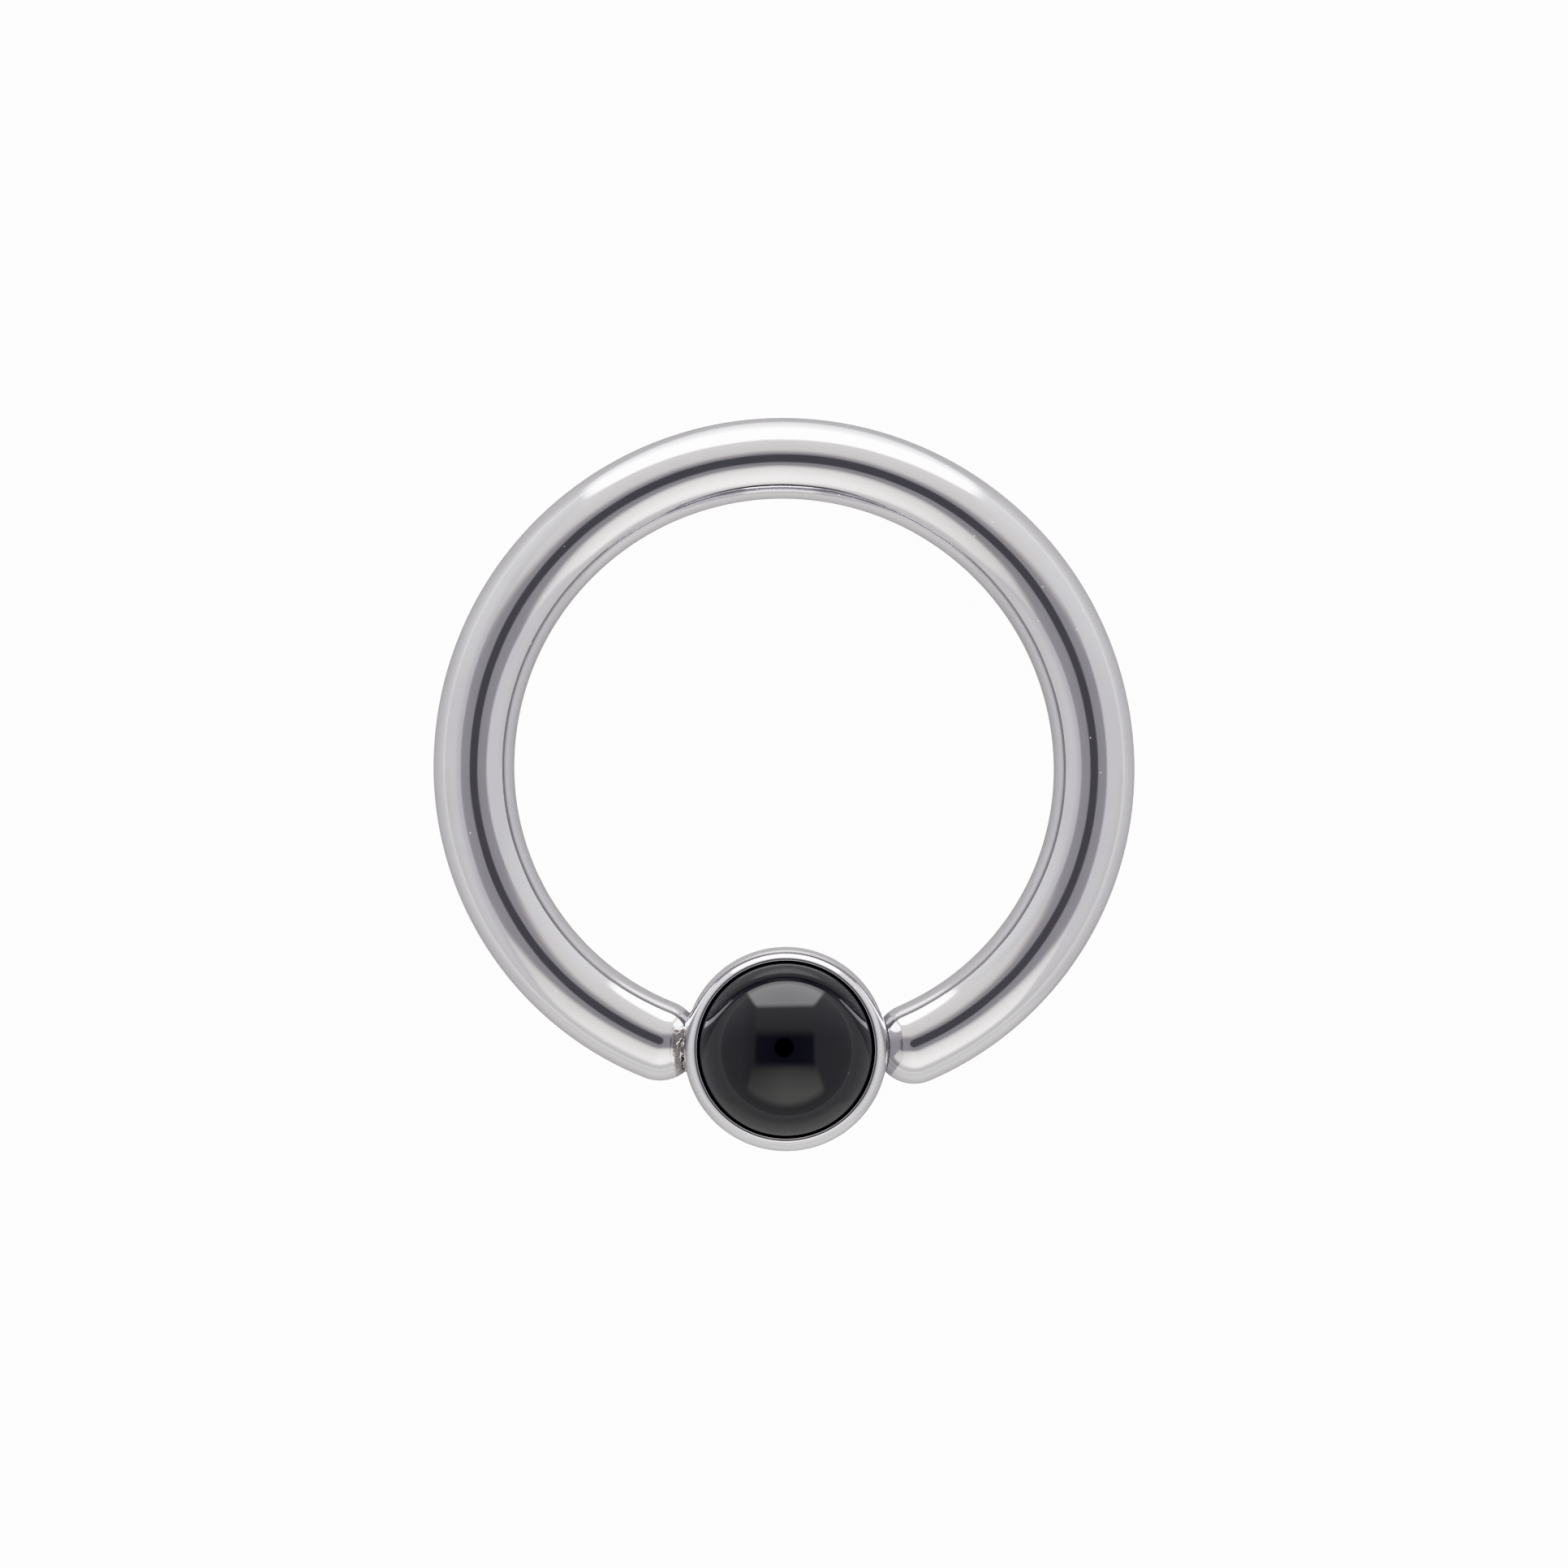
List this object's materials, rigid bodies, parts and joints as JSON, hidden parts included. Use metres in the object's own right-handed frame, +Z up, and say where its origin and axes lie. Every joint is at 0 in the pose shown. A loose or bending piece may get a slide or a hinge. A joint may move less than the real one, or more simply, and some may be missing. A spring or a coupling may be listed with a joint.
{
  "type": "captive bead ring",
  "caption": "Round wire hoop closed by a small bezel cup that holds a smooth black domed stone, as body jewellery.",
  "frame": {"origin": "on the surface that the ring lies on, under the middle of the ring's own box", "axes": "+Z up out of the surface and out of the stone's dome, +Y from the cup to the crown of the hoop, +X to the right as seen from above"},
  "size_m": [0.0104, 0.0108, 0.0026],
  "materials": {
    "titanium": "polished",
    "black_onyx": "polished"
  },
  "bodies": {
    "root": {"welded_hoop": "titanium", "cabochon": "black_onyx"}
  },
  "joints": []
}
